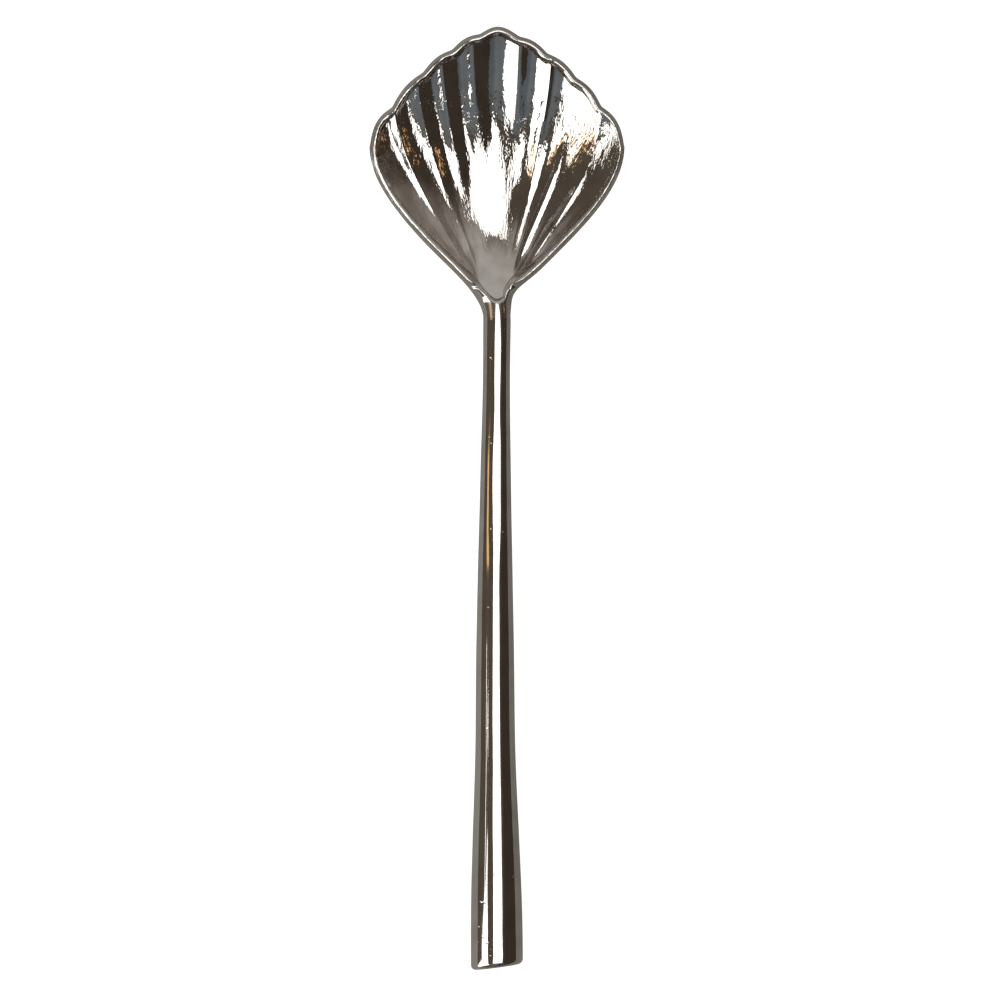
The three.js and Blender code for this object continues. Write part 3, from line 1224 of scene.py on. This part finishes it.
@dataclass
class Studio:
    """White table, dim brown room with a pale backdrop, light panels and the camera above."""

    # Camera: what the photograph spans, where its middle lies and at which height, in millimetres
    photo_span: float = 159.24
    photo_middle: tuple[float, float] = (0.48, -49.36)
    photo_z: float = 5.5
    sensor: float = 36.0

    # Room, in metres
    camera_height: float = 1.5
    floor_size: float = 6.0
    # Where the table's lit left gives way to its right, which is painted darker as the spoon's
    # shadow
    painted_shadow_edge: tuple[float, float] = (-0.02, 0.02)  # where the table's left becomes its right
    corner_way: tuple[float, float, float] = (0.80, -0.50, 0.34)
    backdrop_way: tuple[float, float, float] = (0.06, 0.82, 0.57)
    white: Colour = (1.0, 1.0, 1.0, 1.0)
    # Painted shade: the table is lighter on the left as if lit and darker on the right as if in the
    # spoon's shadow, which the metal mirrors at its edges
    table_lit_left: Colour = (0.42, 0.415, 0.39, 1.0)
    table_shaded_right: Colour = (0.29, 0.28, 0.262, 1.0)
    room_left: Colour = (0.115, 0.092, 0.072, 1.0)
    room_right: Colour = (0.205, 0.170, 0.145, 1.0)
    corner: Colour = (0.056, 0.044, 0.033, 1.0)
    backdrop: Colour = (0.565, 0.54, 0.52, 1.0)
    mirrored_table: float = 0.02

    def panels(self) -> tuple[Panel, ...]:
        """The studio's lights.

        Returns:
            The panels, the main softbox first.
        """
        spoon, white, warm = (0.0, 0.0, 0.0), (1.0, 1.0, 1.0), (1.0, 0.60, 0.27)
        above, beside, neck = (0.19, -0.04, 0.0), (0.0, -0.13, 0.0), (0.0, -0.030, 0.0)
        return (
            Panel("softbox", (0.19, -0.04, 1.5), above, (1.02, 1.08), 2.2, white, -12.0),
            Panel("window", (-1.625, -0.775, 0.85), spoon, (0.97, 2.0), 2.2, (0.98, 0.99, 1.0)),
            Panel("blue_fill", (-0.08, -1.30, 1.52), spoon, (2.5, 1.15), 0.12, (0.46, 0.74, 1.0)),
            Panel("edge_light", (-0.30, -0.13, 0.25), beside, (0.11, 0.016), 1.5, white),
            Panel("warm_left", (-0.30, -0.030, 0.26), neck, (0.035, 0.11), 0.85, warm),
            Panel("warm_right", (0.36, 0.03, 0.16), spoon, (0.03, 0.03), 1.4, (1.0, 0.55, 0.22)),
        )

    def light(self) -> None:
        """Hangs all the panels."""
        for panel in self.panels():
            panel.light()
            LOG.info("light: %s", panel.name)

    def lay_table(self) -> None:
        """Lays the white table top, which the camera sees as the white of the backdrop."""
        start_piece()
        bpy.ops.mesh.primitive_plane_add(size=self.floor_size)
        floor = bpy.context.object
        floor.name = "table_top"
        made, sheet = new_material("table_white")
        path = sheet.node("ShaderNodeLightPath")
        seen = Val(sheet, path.outputs["Is Camera Ray"])
        through = Val(sheet, path.outputs["Is Transmission Ray"])
        mirrored = Val(sheet, path.outputs["Is Glossy Ray"]) + through
        spot = sheet.node("ShaderNodeTexCoord").outputs["Object"]
        across = sheet.val("ShaderNodeSeparateXYZ", None, {0: spot}, "X")
        # Painted shadow: the table's colour darkens from left to right to stand for the spoon's
        # shadow, seen in the metal's reflections
        table_painted_shade = sheet.tint(across.ease(*self.painted_shadow_edge), self.table_lit_left, self.table_shaded_right)
        matt = sheet.node("ShaderNodeBsdfDiffuse", None, {"Color": table_painted_shade})
        glow = sheet.node(
            "ShaderNodeEmission",
            None,
            {"Color": self.white, "Strength": seen + self.mirrored_table * mirrored},
        )
        both = sheet.node("ShaderNodeAddShader", None, {0: matt.outputs[0], 1: glow.outputs[0]})
        sheet.node("ShaderNodeOutputMaterial", None, {0: both.outputs[0]})
        floor.data.materials.append(made)

    def paint_room(self) -> None:
        """Paints the room round the table: dim and brown, with a pale backdrop behind the bowl."""
        world = bpy.data.worlds.new("studio_room")
        world.use_nodes = True
        sheet = NodeSheet(world.node_tree)
        facing = sheet.node("ShaderNodeTexCoord").outputs["Generated"]
        parts = sheet.node("ShaderNodeSeparateXYZ", None, {0: facing})
        right, back, up = (Val(sheet, parts.outputs[name]) for name in "XYZ")
        to_corner, to_backdrop = (
            way[0] * right + way[1] * back + way[2] * up
            for way in (self.corner_way, self.backdrop_way)
        )
        walls = sheet.tint(right.ease(-0.3, 0.6), self.room_left, self.room_right)
        walls = sheet.tint(to_corner.ease(0.55, 0.80), walls, self.corner)
        behind = to_backdrop.ease(0.57, 0.87) * up.ease(0.97, 0.84)
        walls = sheet.tint(behind, walls, self.backdrop)
        seen = sheet.node("ShaderNodeLightPath").outputs["Is Camera Ray"]
        colour = sheet.tint(seen, walls, self.white)
        sky = sheet.node("ShaderNodeBackground", None, {"Color": colour, "Strength": 1.0})
        sheet.node("ShaderNodeOutputWorld", None, {0: sky.outputs[0]})
        bpy.context.scene.world = world

    def set_camera(self) -> None:
        """Hangs the camera straight above the spoon, framed as the photograph is."""
        lens = bpy.data.cameras.new("above")
        lens.sensor_width = self.sensor
        lens.lens = self.sensor * (self.camera_height / MM - self.photo_z) / self.photo_span
        camera = bpy.data.objects.new("above", lens)
        bpy.context.scene.collection.objects.link(camera)
        x, y = self.photo_middle
        camera.location = (x * MM, y * MM, self.camera_height)
        bpy.context.scene.camera = camera


def main() -> None:
    """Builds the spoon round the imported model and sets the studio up."""
    logging.basicConfig(level=logging.INFO, format="%(name)s %(message)s")
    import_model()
    for assembly in (ShellBowl(), RodHandle(), BrazeSeam()):
        assembly.dress(assembly.build())
    studio = Studio()
    studio.lay_table()
    studio.paint_room()
    studio.light()
    studio.set_camera()
    bpy.context.scene.view_settings.view_transform = "Standard"


if __name__ == "__main__":
    main()
